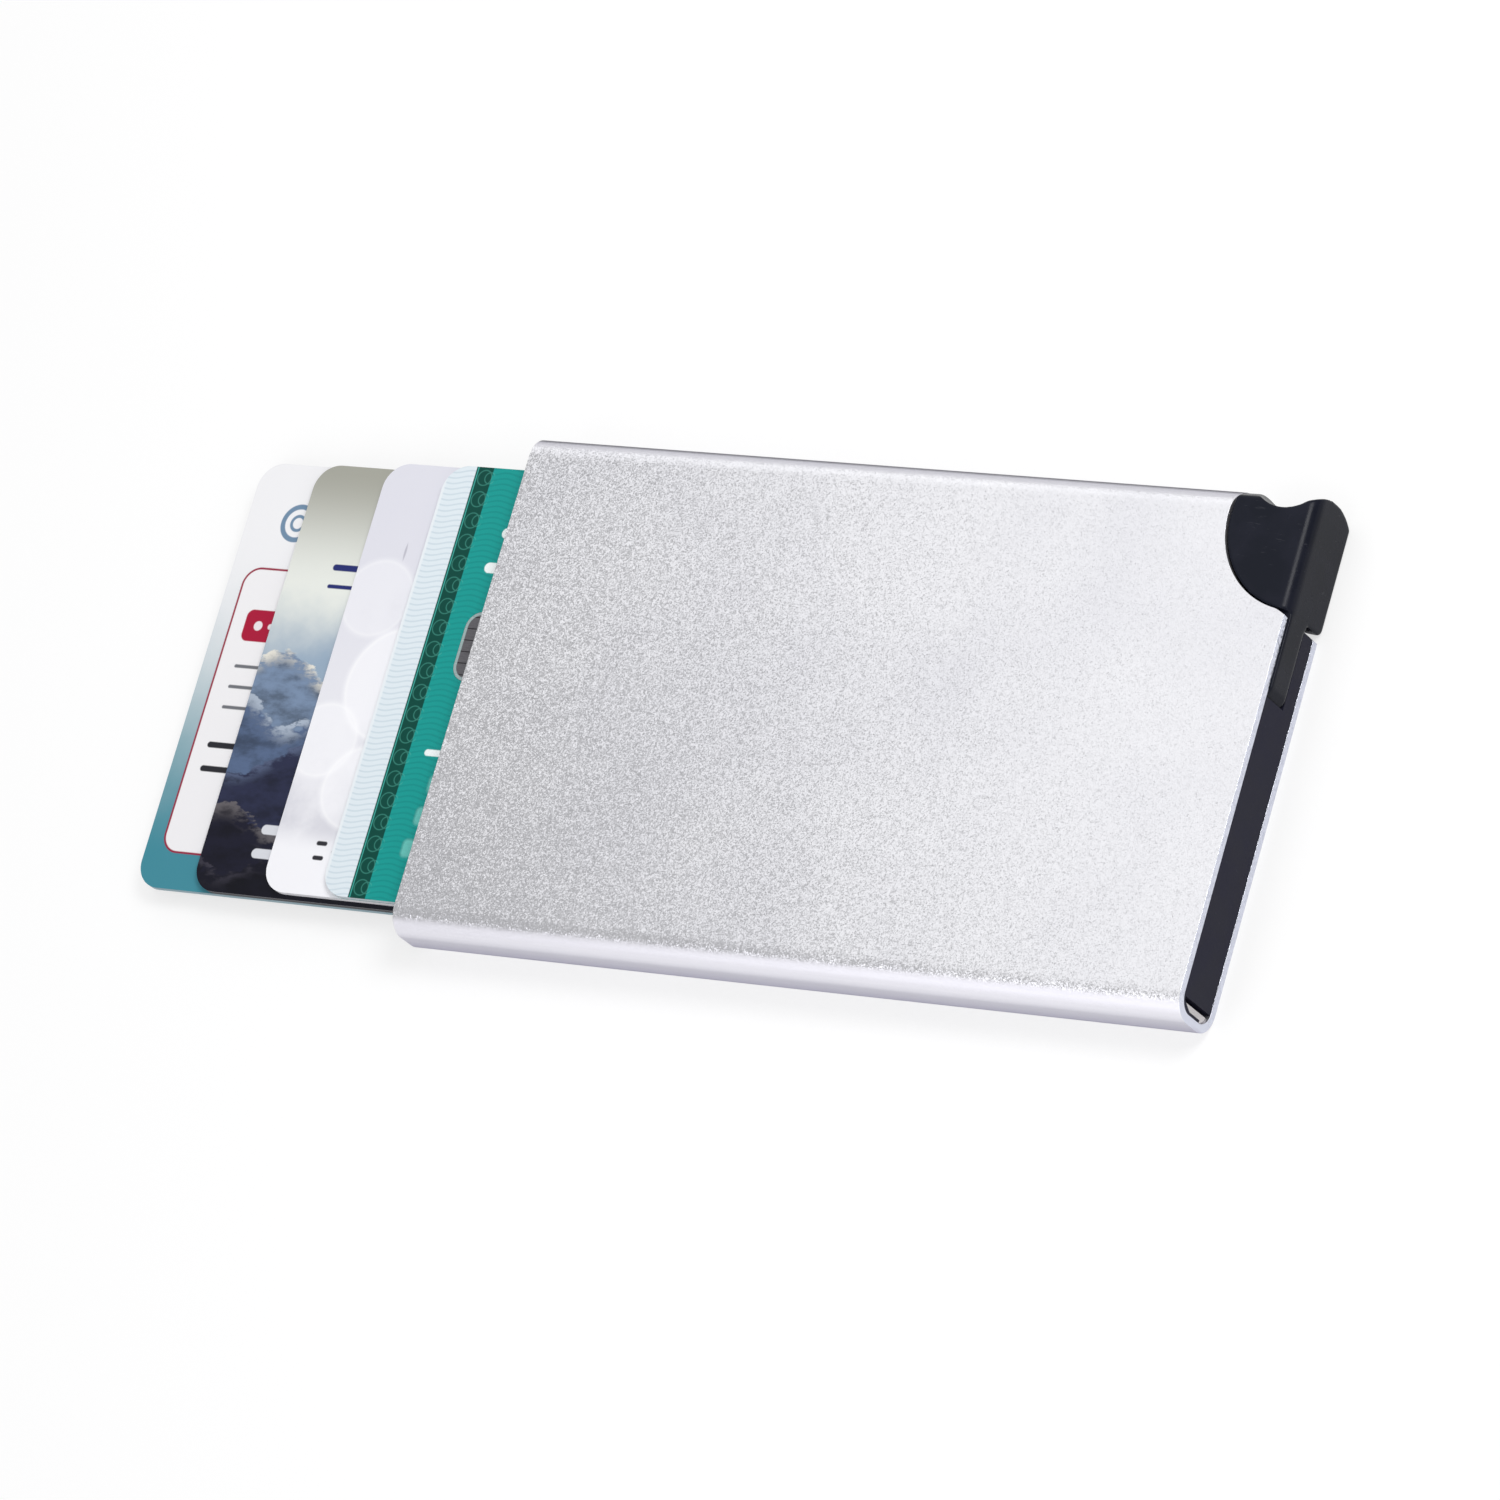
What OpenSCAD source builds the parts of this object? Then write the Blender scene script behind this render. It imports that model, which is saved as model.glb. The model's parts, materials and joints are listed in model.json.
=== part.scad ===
// Flat card holder: aluminium tube, pressed-lever card pusher and four fanned cards.
// Origin: centre of the tube's back face. X runs from the open mouth to the lever end,
// Y across the width, Z out of the front face. Lengths in mm.

/* [Tube] */
// Length of the tube beyond the inner ends of the cards when they are in
end_room = 18.4; // [18.35:0.05:18.6]
// Room beside the cards on each side
side_room = 2.91; // [2.8:0.01:3.2]
// Thickness of the tube
case_t = 8.4; // [8.2:0.1:9]
// Outer radius of the long edges
edge_r = 3; // [2.4:0.1:3.4]
// Wall thickness
wall = 1; // [0.8:0.05:1.1]
// Radius of the corner notch for the thumb lever
notch_r = 11; // [10.7:0.1:11.2]
// Distance of the notch centre beyond the end
notch_beyond = 0.6; // [0.4:0.1:0.8]
// Distance of the notch centre in from the long edge
notch_inset = 3.4; // [3.2:0.1:3.6]

/* [Cards] */
// Length of a card
card_l = 85.6; // [85.4:0.1:85.7]
// Width of a card
card_w = 53.98; // [53.8:0.01:54.1]
// Thickness of a card
card_t = 0.76; // [0.68:0.01:0.78]
// Corner radius of a card
card_r = 3.18; // [2.8:0.01:3.5]
// Distance from one card's back to the next card's back
card_pitch = 0.8; // [0.8:0.01:0.82]
// Height of the rear card's back over the tube's back face
card_z = 2.1; // [2.1:0.01:2.2]
// Stand-out of the rear card as a share of the arm's reach
out_1_share = 0.833; // [0.8:0.001:0.84]
// Stand-out of the second card as a share of the arm's reach
out_2_share = 0.657; // [0.64:0.001:0.68]
// Stand-out of the third card as a share of the arm's reach
out_3_share = 0.447; // [0.43:0.001:0.47]
// Stand-out of the front card as a share of the arm's reach
out_4_share = 0.265; // [0.25:0.001:0.28]
// Sideways shift of the rear pair of cards
shift_rear = 0.25; // [0:0.01:0.3]
// Sideways shift of the front pair of cards
shift_front = 0.3; // [0:0.01:0.34]
// Depth of the inlays in the cards' backs
inlay_t = 0.08; // [0.06:0.01:0.12]
// Height of the magnetic stripe
stripe_h = 12.7; // [10:0.1:13]
// Distance of the stripe from the card's top edge
stripe_in = 4.5; // [3.8:0.1:5]
// Length of the signature strip
sign_l = 58; // [50:1:62]
// Height of the signature strip
sign_h = 9; // [8:0.1:10]
// Distance of the signature strip from the card's left edge
sign_in = 7; // [5:0.1:10]
// Gap between stripe and signature strip
sign_gap = 3; // [2:0.1:4]
// Length of the chip's contact plate
chip_l = 11.8; // [11:0.1:12.5]
// Height of the chip's contact plate
chip_h = 8.6; // [8:0.1:9]
// Corner radius of the contact plate
chip_r = 2; // [1.5:0.1:2.5]
// Thickness of the contact plate
chip_t = 0.3; // [0.2:0.01:0.4]
// Distance of the plate from the card's left edge
chip_in = 9; // [8.5:0.1:10]
// Height of the plate's centre over the card's middle
chip_up = 4.8; // [4:0.1:6]
// Free gap round an inlay
inlay_gap = 0.04; // [0.03:0.01:0.06]

/* [Lever] */
// Distance of the lever's pivot from the end
pivot_in = 4; // [3.8:0.05:4.2]
// Distance of the lever's pivot from the long edge
pivot_side = 21.4; // [21.2:0.05:21.6]
// Radius of the lever's hub
hub_r = 4.6; // [4.5:0.05:4.7]
// Gap between thumb piece and notch
lever_gap = 0.2; // [0.15:0.01:0.25]
// How far the thumb piece stands proud of the end
lever_proud = 0.3; // [0.2:0.01:0.35]
// Radius of the thumb piece's crowned long edge
crown_r = 6.6; // [6:0.1:8]
// How far the crown stands proud of the tube's long edge
crown_proud = 0.15; // [0.05:0.01:0.2]
// How far its faces lie below the tube's faces
lever_sunk = 0.08; // [0.05:0.01:0.12]
// Height of the tail's back over the tube's back face
tail_z = 3.4; // [3.35:0.05:3.5]
// Length of the tail across the end
tail_x = 5; // [4.8:0.1:5.2]
// Reach of the tail into the thumb piece
tail_into = 4; // [3:0.1:5]
// Radius of the scoop in the thumb piece
scoop_r = 5; // [4.6:0.1:5.2]
// Distance of the scoop's middle from the end
scoop_in = 4; // [3.9:0.1:4.2]
// Depth of the scoop below the long edge
scoop_deep = 2.2; // [1.9:0.1:2.4]
// Gap kept round the swept path of the thumb piece
sweep_gap = 0.13; // [0.1:0.01:0.15]

/* [Pushing arm] */
// Distance of the arm's pivot from the end
arm_in = 14.5; // [14.4:0.05:14.6]
// Distance of the arm's pivot from the long edge
arm_side = 8.9; // [8.7:0.05:9.1]
// Gap between the arm and the card ends
arm_gap = 0.1; // [0.08:0.01:0.15]
// Back width of the arm beside the lever's hub
arm_neck = 2.5; // [2.2:0.1:2.6]
// Back width of the arm beyond the hub
arm_back = 4.6; // [4.2:0.1:4.8]
// Where the back starts to widen
neck_end = 9; // [8.6:0.1:10]
// Where the back has widened
back_start = 14; // [13:0.1:15]
// Thickness of the toothed sectors
tooth_t = 1.7; // [1.5:0.1:1.8]
// Back face of the toothed sectors over the tube's back face
tooth_z = 3.5; // [3.45:0.05:3.6]

/* [Pins] */
// Radius of the pivot pins
pin_r = 1.45; // [1.3:0.05:1.5]
// Radial running clearance on the pins
pin_fit = 0.05; // [0.03:0.01:0.08]
// Lower end of the pins over the tube's back face
pin_z = 1.3; // [1.2:0.05:1.4]
// Length of the pins
pin_l = 5.8; // [5.7:0.05:5.9]

/* [End cap] */
// Gap between cap and tube
cap_gap = 0.05; // [0.03:0.01:0.08]
// Room for the spring's foot beside the cap
cap_short = 1.6; // [1.5:0.05:2]
// Reach of the cap's floor from the end
floor_in = 17; // [16.8:0.1:17.2]
// Thickness of the cap's floor
floor_t = 0.85; // [0.7:0.05:0.85]
// Depth of the cap's end block
block_in = 8; // [7.8:0.1:8.4]
// Gap round the hub in the end block
hub_gap = 0.27; // [0.25:0.01:0.3]
// Free height under the lever's hub
shelf_gap = 0.1; // [0.06:0.01:0.15]
// Outer limit of the bridge over the arm's pivot, from the end
bridge_in = 10.7; // [10.6:0.05:10.9]
// Width of the bridge below the arm's pivot
bridge_w = 4.5; // [4:0.1:5]
// Width of the side post
post_w = 2.9; // [2.7:0.1:3.1]
// Free height over the arm's hub
bridge_gap = 0.15; // [0.1:0.01:0.2]

/* [Springs and pads] */
// Thickness of a side spring
spring_t = 0.6; // [0.5:0.05:0.7]
// Height of a side spring
spring_h = 3.2; // [2.8:0.1:3.2]
// Start of a spring's bow from the mouth
bow_start = 6; // [5:0.5:8]
// Gap between a spring's bow and the cap
bow_gap = 1; // [0.5:0.1:2]
// Gap between the springs' ends and the tube's side walls
side_gap = 0.2; // [0.15:0.01:0.25]
// Gap between spring and cards
spring_gap = 0.08; // [0.06:0.01:0.1]
// Distance of the foot's inner face from the tube's side wall
foot_w = 1.2; // [1.05:0.05:1.25]
// Height of the foot's front tip over the tube's back face
foot_top = 6.9; // [6.7:0.05:6.95]
// Height of the slope on the foot's front corner
foot_slope = 1.6; // [1.4:0.1:1.8]
// Height of the foot's rear part, which reaches the side wall
foot_step = 3; // [2.5:0.1:3.2]
// Distance of the rest of the foot from the side wall
foot_lean = 0.45; // [0.4:0.05:0.5]
// Gap between the foot and the cap's rim round it
foot_gap = 0.12; // [0.1:0.01:0.15]
// Depth of the cap's rim round the foot
rim_l = 1.8; // [1.5:0.1:2]
// Length of the lower spring's foot
foot_l = 3.2; // [3:0.1:4]
// How far the foot lies inside the end
foot_in = 0.4; // [0.3:0.1:1]
// Length of a friction strip along the cards
pad_l = 7; // [6:0.1:8]
// Width of a friction strip
pad_w = 18; // [16:0.5:20]
// Distance of a strip's middle from the middle line
pad_off = 15; // [14:0.5:16]
// Distance of the strips from the mouth
pad_in = 4; // [3:0.1:6]
// Free gap between strips and cards
pad_gap = 0.04; // [0.03:0.01:0.05]

/* [Hidden] */
$fn = 96;

swing = 60;
tooth_count = 16;
tooth_press = 25;
tooth_play = 0.35;
tip_share = 0.85;
root_share = 1.15;
far_share = 2;

case_l = card_l + end_room;
case_w = card_w + 2 * (side_room + wall);
end_x = case_l / 2;
half_w = case_w / 2;
inner_w = half_w - wall;
inner_top = case_t - wall;
inner_r = edge_r - wall;
notch_x = end_x + notch_beyond;
notch_y = half_w - notch_inset;
pivot_x = end_x - pivot_in;
pivot_y = half_w - pivot_side;
arm_x = end_x - arm_in;
arm_y = half_w - arm_side;
arm_reach = arm_y + card_w / 2;
bow_l = case_l - bow_start - floor_in - bow_gap;
knob_r = notch_r - lever_gap;
face_x = end_x + lever_proud;

mesh_d = norm([arm_x - pivot_x, arm_y - pivot_y]);
mesh_dir = atan2(arm_y - pivot_y, arm_x - pivot_x);
pitch_r = mesh_d / 2;
module_l = 2 * pitch_r / tooth_count;
tip_r = pitch_r + module_l * tip_share;
root_r = pitch_r - module_l * root_share;
base_r = pitch_r * cos(tooth_press);
tooth_step = 360 / tooth_count;

outs = [out_1_share * arm_reach, out_2_share * arm_reach, out_3_share * arm_reach, out_4_share * arm_reach];
shifts = [-shift_rear, -shift_rear, shift_front, shift_front];
front_x = arm_x + end_x - card_l - arm_gap;
swept_r = norm([notch_x - pivot_x, notch_y - pivot_y]) - knob_r - sweep_gap;
swept_x = pivot_x + swept_r * cos(atan2(notch_y - pivot_y, notch_x - pivot_x));

function card_back(k) = card_z + card_pitch * (k - 1);
function card_left(k) = -end_x - outs[k - 1];
function swing_r(k) = outs[k - 1] * 180 / (PI * swing);

function inv_angle(a) = tan(a) * 180 / PI - a;
function half_angle(r) = 90 / tooth_count - tooth_play + inv_angle(tooth_press) - inv_angle(acos(base_r / r));
function polar(r, a) = [r * cos(a), r * sin(a)];

tooth_rs = [for (i = [0:6]) base_r + (tip_r - base_r) * i / 6];
tooth_up = [for (r = tooth_rs) polar(r, half_angle(r))];
tooth_down = [for (i = [6:-1:0]) polar(tooth_rs[i], -half_angle(tooth_rs[i]))];
tooth_foot = [polar(root_r / 2, -half_angle(base_r)), polar(root_r / 2, half_angle(base_r))];

// One tooth of the meshed sectors, pointing along +X.
module tooth() {
    polygon(concat(tooth_foot, tooth_up, tooth_down));
}

// Pie slice of the given radius between two angles less than 180 degrees apart.
module slice(r, a, b) {
    far = r * far_share;
    intersection() {
        circle(r = r);
        polygon([[0, 0], polar(far, a), polar(far, (a + b) / 2), polar(far, b)]);
    }
}

// Toothed sector with its first tooth at angle a and further teeth in steps of s.
module sector(a, s, n) {
    lo = min(a, a + s * (n - 1)) - tooth_step / 4;
    hi = max(a, a + s * (n - 1)) + tooth_step / 4;
    slice(root_r, lo, hi);
    for (i = [0:n - 1]) rotate(a + s * i) tooth();
}

// Flat bar along X with rounded long edges, starting at x.
module rounded_bar(x, l, hw, z0, z1, r) {
    translate([x, 0, 0])
        rotate([90, 0, 90])
            linear_extrude(l) {
                translate([-hw + r, z0]) square([2 * (hw - r), z1 - z0]);
                translate([-hw, z0 + r]) square([2 * hw, z1 - z0 - 2 * r]);
                for (sy = [-1, 1], z = [z0 + r, z1 - r]) translate([sy * (hw - r), z]) circle(r = r);
            }
}

// Flat outline with rounded corners, its left edge at x and its lower edge at y.
module rounded_plan(x, y, l, w, r) {
    translate([x + r, y]) square([l - 2 * r, w]);
    translate([x, y + r]) square([l, w - 2 * r]);
    for (px = [x + r, x + l - r], py = [y + r, y + w - r]) translate([px, py]) circle(r = r);
}

// Box between two corners.
module span(a, b) {
    translate(a) cube(b - a);
}

// Space that the thumb piece fills when pressed home.
module notch(r) {
    translate([notch_x, notch_y, -case_t]) cylinder(h = 3 * case_t, r = r);
}

// Space beside the notch that the thumb piece sweeps on its way out.
module swept() {
    intersection() {
        translate([pivot_x, pivot_y, -case_t])
            difference() {
                cylinder(h = 3 * case_t, r = swept_r * far_share);
                cylinder(h = 3 * case_t, r = swept_r);
            }
        span([swept_x, pivot_y, -case_t], [end_x + case_t, notch_y, 2 * case_t]);
    }
}

module case_shell() {
    color([0.84, 0.84, 0.86])
        difference() {
            rounded_bar(-end_x, case_l, half_w, 0, case_t, edge_r);
            rounded_bar(-case_l, 2 * case_l, inner_w, wall, inner_top, inner_r);
            notch(notch_r);
            swept();
        }
}

// Plan of the lever's hub cut by the end face.
module hub_plan(r) {
    intersection() {
        circle(r = r);
        translate([-case_t, -case_t]) square([face_x - pivot_x + case_t, 2 * case_t]);
    }
}

// Space under the crowned long edge of the thumb piece.
module crowned() {
    crown_y = half_w + crown_proud - crown_r;
    span([0, 0, 0], [case_l, crown_y, case_t]);
    translate([0, crown_y, case_t / 2]) rotate([0, 90, 0]) cylinder(h = case_l, r = crown_r);
}

module lever() {
    tail_y = notch_y - notch_r + tail_into;
    tail_top = inner_top - shelf_gap;
    color([0.17, 0.17, 0.2])
        difference() {
            union() {
                intersection() {
                    crowned();
                    notch(knob_r);
                    span([0, 0, lever_sunk], [face_x, case_w, case_t - lever_sunk]);
                }
                span([face_x - tail_x, pivot_y, tail_z], [face_x, tail_y, tail_top]);
                translate([pivot_x, pivot_y, tail_z]) linear_extrude(tail_top - tail_z) hub_plan(hub_r);
                translate([pivot_x, pivot_y, tooth_z])
                    linear_extrude(tooth_t) sector(mesh_dir, tooth_step, 4);
            }
            translate([end_x - scoop_in, half_w - scoop_deep + scoop_r, -case_t])
                cylinder(h = 3 * case_t, r = scoop_r);
            translate([pivot_x, pivot_y, -case_t]) cylinder(h = 3 * case_t, r = pin_r + pin_fit);
        }
}

// Outline of the room round the spring's foot, seen from the end, from the tube's side wall.
module foot_room() {
    side = foot_lean - foot_gap;
    polygon([
        [-wall, -wall], [cap_short, -wall], [cap_short, foot_top + foot_gap], [foot_w, foot_top + foot_gap],
        [side, foot_top - foot_slope + foot_gap], [side, foot_step], [-wall, foot_step]
    ]);
}

// Space inside the tube that the cap may fill.
module cap_space() {
    rounded_bar(0, end_x, inner_w - cap_gap, wall + cap_gap, inner_top - cap_gap, inner_r - cap_gap);
}

module end_cap() {
    floor_x = end_x - floor_in;
    shelf_z = tail_z - shelf_gap;
    bridge_z = card_top(4) + bridge_gap + arm_gap;
    low_y = cap_short - inner_w;
    color([0.22, 0.22, 0.26])
        difference() {
            intersection() {
                cap_space();
                union() {
                    span([floor_x, low_y, 0], [end_x, half_w, wall + cap_gap + floor_t]);
                    span([end_x - block_in, low_y, 0], [end_x, pivot_y, case_t]);
                    intersection() {
                        translate([pivot_x, pivot_y, 0]) cylinder(h = shelf_z, r = swept_r);
                        span([end_x - block_in, 0, 0], [end_x, half_w, case_t]);
                    }
                    difference() {
                        span([end_x - rim_l, -half_w, 0], [end_x, low_y + wall, case_t]);
                        translate([0, -inner_w, 0]) rotate([90, 0, 90]) linear_extrude(case_l) foot_room();
                    }
                    span([floor_x, inner_w - post_w, 0], [end_x - bridge_in, half_w, case_t]);
                    span([floor_x, arm_y - bridge_w, bridge_z], [end_x - bridge_in, half_w, case_t]);
                }
            }
            notch(notch_r + cap_gap);
            swept();
            translate([pivot_x, pivot_y, shelf_z]) cylinder(h = case_t, r = hub_r + hub_gap);
            for (p = [[pivot_x, pivot_y], [arm_x, arm_y]])
                translate([p[0], p[1], pin_z]) cylinder(h = pin_l, r = pin_r);
        }
}

module pivot_pins() {
    color([0.7, 0.7, 0.72])
        for (p = [[pivot_x, pivot_y], [arm_x, arm_y]])
            translate([p[0], p[1], pin_z]) cylinder(h = pin_l, r = pin_r);
}

function card_top(k) = card_back(k) + card_t;

// Front limit of arm step k when the cards are in, seen from the arm's pivot.
function step_edge(k) =
    let (
        r = swing_r(k),
        u_far = (sqrt(arm_reach * arm_reach - r * r) - front_x) / r * 180 / PI,
        u_end = min(swing, u_far)
    )
    [for (i = [0:20])
        let (u = u_end * i / 20, s = front_x + r * u * PI / 180)
        [r * sin(u) - s * cos(u), -r * cos(u) - s * sin(u)]];

// Plan of arm step k when the cards are in.
module step_plan(k) {
    edge = step_edge(k);
    far = arm_reach * far_share;
    intersection() {
        polygon(concat([[far, 0], [-front_x, 0]], edge, [[far, edge[20][1]]]));
        polygon([
            [-front_x, 0], [-front_x, -far], [arm_back, -far],
            [arm_back, -back_start], [arm_neck, -neck_end], [arm_neck, 0]
        ]);
        circle(r = arm_reach);
    }
}

module push_arm() {
    low = card_z;
    color([0.3, 0.3, 0.33])
        translate([arm_x, arm_y, 0])
            difference() {
                union() {
                    rotate(-swing) {
                        for (k = [1:4]) {
                            z0 = k == 1 ? card_z : card_top(k - 1);
                            translate([0, 0, z0]) linear_extrude(card_top(k) - z0) step_plan(k);
                        }
                        translate([0, 0, low]) cylinder(h = card_top(4) + arm_gap - low, r = front_x);
                    }
                    translate([0, 0, tooth_z])
                        linear_extrude(tooth_t) sector(mesh_dir + 180 + tooth_step / 2, -tooth_step, 5);
                }
                translate([0, 0, -case_t]) cylinder(h = 3 * case_t, r = pin_r + pin_fit);
            }
}

// Bowed strip in the side channel on side s (1 upper, -1 lower); y_in is the nearest card edge.
module bow(s, y_in) {
    half_l = bow_l / 2;
    rise = inner_w - side_gap - spring_t - y_in;
    bow_r = (half_l * half_l + rise * rise) / (2 * rise);
    translate([-end_x + bow_start + half_l, s * (y_in + bow_r)])
        intersection() {
            difference() {
                circle(r = bow_r, $fn = 720);
                circle(r = bow_r - spring_t, $fn = 720);
            }
            translate([-half_l, s > 0 ? -bow_r : bow_r - 2 * rise]) square([bow_l, 2 * rise]);
        }
}

module spring_slab() {
    translate([0, 0, (case_t - spring_h) / 2]) linear_extrude(spring_h) children();
}

module spring_upper() {
    color([0.8, 0.8, 0.8]) spring_slab() bow(1, card_w / 2 + shift_front + spring_gap);
}

// Outline of the lower spring's foot, seen from the end, from the tube's side wall.
module foot_plan() {
    polygon([
        [0, 0], [foot_w, 0], [foot_w, foot_top], [foot_lean, foot_top - foot_slope],
        [foot_lean, foot_step], [0, foot_step - foot_lean]
    ]);
}

module spring_lower() {
    leg_x = -end_x + bow_start + bow_l - spring_t;
    foot_x = end_x - foot_in - foot_l;
    color([0.8, 0.8, 0.8]) {
        spring_slab() {
            bow(-1, card_w / 2 + shift_rear + spring_gap);
            translate([leg_x, side_gap - inner_w]) square([foot_x + foot_l / 2 - leg_x, spring_t]);
        }
        intersection() {
            cap_space();
            translate([foot_x, -inner_w, 0])
                rotate([90, 0, 90]) linear_extrude(foot_l) foot_plan();
        }
    }
}

// Friction strips between two heights.
module pads(z0, z1) {
    for (s = [-1, 1])
        translate([pad_in - end_x, s * pad_off - pad_w / 2, z0]) cube([pad_l, pad_w, z1 - z0]);
}

module pads_rear() {
    color([0.15, 0.15, 0.16]) pads(wall, card_z - pad_gap);
}

module pads_front() {
    color([0.15, 0.15, 0.16]) pads(card_top(4) + pad_gap, inner_top);
}

// Plan of the stripe inlay of card k, grown by g.
module stripe_plan(k, g) {
    translate([card_left(k) - g, shifts[k - 1] + card_w / 2 - stripe_in - stripe_h - g])
        square([card_l + 2 * g, stripe_h + 2 * g]);
}

// Plan of the signature strip of card k, grown by g.
module sign_plan(k, g) {
    sign_y = shifts[k - 1] + card_w / 2 - stripe_in - stripe_h - sign_gap - sign_h;
    translate([card_left(k) + sign_in - g, sign_y - g]) square([sign_l + 2 * g, sign_h + 2 * g]);
}

// Plan of the contact plate of the front card, grown by g.
module chip_plan(g) {
    chip_x = card_left(4) + chip_in;
    chip_y = shifts[3] + chip_up - chip_h / 2;
    rounded_plan(chip_x - g, chip_y - g, chip_l + 2 * g, chip_h + 2 * g, chip_r + g);
}

// Card k with recesses for its stripe, its signature strip and its chip.
module card(k, signed, chipped) {
    difference() {
        translate([0, 0, card_back(k)])
            linear_extrude(card_t) rounded_plan(card_left(k), shifts[k - 1] - card_w / 2, card_l, card_w, card_r);
        translate([0, 0, card_back(k) - inlay_t]) linear_extrude(2 * inlay_t) stripe_plan(k, inlay_gap);
        if (signed) translate([0, 0, card_back(k) - inlay_t]) linear_extrude(2 * inlay_t) sign_plan(k, inlay_gap);
        if (chipped) translate([0, 0, card_top(k) - chip_t]) linear_extrude(2 * chip_t) chip_plan(inlay_gap);
    }
}

// Magnetic stripe of card k.
module stripe(k) {
    color([0.12, 0.1, 0.1]) translate([0, 0, card_back(k)]) linear_extrude(inlay_t) stripe_plan(k, 0);
}

// Signature strip of card k.
module sign(k) {
    color([0.93, 0.93, 0.9]) translate([0, 0, card_back(k)]) linear_extrude(inlay_t) sign_plan(k, 0);
}

module card_1() {
    color([0.35, 0.6, 0.65]) card(1, true, false);
}

module card_2() {
    color([0.15, 0.16, 0.25]) card(2, false, false);
}

module card_3() {
    color([0.85, 0.84, 0.9]) card(3, true, false);
}

module card_4() {
    color([0.1, 0.6, 0.58]) card(4, true, true);
}

module card_1_stripe() {
    stripe(1);
}

module card_1_sign() {
    sign(1);
}

module card_2_stripe() {
    stripe(2);
}

module card_3_stripe() {
    stripe(3);
}

module card_3_sign() {
    sign(3);
}

module card_4_stripe() {
    stripe(4);
}

module card_4_sign() {
    sign(4);
}

module card_4_chip() {
    color([0.42, 0.4, 0.4])
        translate([0, 0, card_top(4) - chip_t]) linear_extrude(chip_t) chip_plan(0);
}

case_shell();
end_cap();
pivot_pins();
spring_upper();
spring_lower();
pads_rear();
pads_front();
lever();
push_arm();
card_1();
card_1_stripe();
card_1_sign();
card_2();
card_2_stripe();
card_3();
card_3_stripe();
card_3_sign();
card_4();
card_4_stripe();
card_4_sign();
card_4_chip();
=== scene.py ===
import json
import math

import bmesh
import bpy
from mathutils import Matrix, Vector


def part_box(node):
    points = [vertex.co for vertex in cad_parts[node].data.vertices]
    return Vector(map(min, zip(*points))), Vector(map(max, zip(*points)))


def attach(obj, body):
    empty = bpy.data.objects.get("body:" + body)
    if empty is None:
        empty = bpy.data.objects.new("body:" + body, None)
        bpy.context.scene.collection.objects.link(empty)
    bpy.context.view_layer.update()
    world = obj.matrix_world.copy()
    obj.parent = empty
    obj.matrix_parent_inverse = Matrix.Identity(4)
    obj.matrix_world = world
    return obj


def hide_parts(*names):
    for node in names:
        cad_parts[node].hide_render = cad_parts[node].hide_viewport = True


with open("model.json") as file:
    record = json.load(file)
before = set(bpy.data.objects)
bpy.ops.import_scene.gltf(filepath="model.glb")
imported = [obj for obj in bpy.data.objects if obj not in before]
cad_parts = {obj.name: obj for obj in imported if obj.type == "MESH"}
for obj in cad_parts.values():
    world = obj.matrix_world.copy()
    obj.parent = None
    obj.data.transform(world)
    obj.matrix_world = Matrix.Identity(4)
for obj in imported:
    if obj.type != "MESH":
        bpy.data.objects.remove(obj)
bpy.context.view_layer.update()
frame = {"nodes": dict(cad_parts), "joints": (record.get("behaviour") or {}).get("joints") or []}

MM = 0.001

# Tube, as in the CAD: half width, thickness, ends, outer edge radius and wall, in mm.
TUBE_LOW, TUBE_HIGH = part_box("case_shell")
HALF_W = TUBE_HIGH.y / MM
TUBE_T = TUBE_HIGH.z / MM
MOUTH_X = TUBE_LOW.x / MM
END_X = TUBE_HIGH.x / MM
EDGE_R = 3
WALL = 1
EDGE_STEPS = 20
TUBE_BEVEL = 0.1

# Pivot of the lever in plan, in mm.
PIVOT = next(tuple(v / MM for v in j["pos_m"][:2]) for j in frame["joints"] if j["name"] == "lever_swing")

# Round notch for the thumb piece, and the space that the lever sweeps, in mm.
NOTCH_R = 11
NOTCH_BEYOND = 0.6
NOTCH_INSET = 3.4
NOTCH_MID = (END_X + NOTCH_BEYOND, HALF_W - NOTCH_INSET)
NOTCH_STEPS = 160
KNOB_GAP = 0.2
SWEEP_GAP = 0.13
SWEPT_R = math.dist(NOTCH_MID, PIVOT) - (NOTCH_R - KNOB_GAP) - SWEEP_GAP
SWEEP_STEPS = 24
PAST_END = 6

# Lever, in mm and degrees: its back's height, its tail's lower side, its eased edges, and its even remeshing.
LEVER_SUNK = 0.08
TAIL_Z = 3.4
KNOB_RIM_R = 0.9
KNOB_RIM_TURN = (158, 275)
LONG_EDGE_R = 1.6
TAIL_EDGE_R = 0.6
PAST_PIVOT = 5
TAIL_ROOT_IN = 0.5
LEVER_VOXEL = 0.135
LEVER_SMOOTH = 0.5
LEVER_PASSES = 14

# Cap, in mm and degrees: gap to the tube, its rim by the lever's sweep, and its bevel.
CAP_GAP = 0.05
CAP_RIM_R = 0.7
CAP_RIM_START = 45
CAP_BEVEL = 0.16

# Friction strips, in mm.
PAD_W = 18
PAD_OFF = 15
RIB_PITCH = 0.7
RIB_R = 0.18
RIB_SIDES = 12

# Cutters: overrun in mm, and steps round a quarter.
OVERRUN = 1
ROUND_STEPS = 8

# Meshes: points this near in mm are made one, and so are faces that meet this flat; edges sharper than the
# last angle get the bevel. Angles in degrees.
SAME_POINT = 0.001
NEAR_POINT = 0.002
FLAT_ANGLE = 0.4
BEVEL_ANGLE = 40

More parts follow.
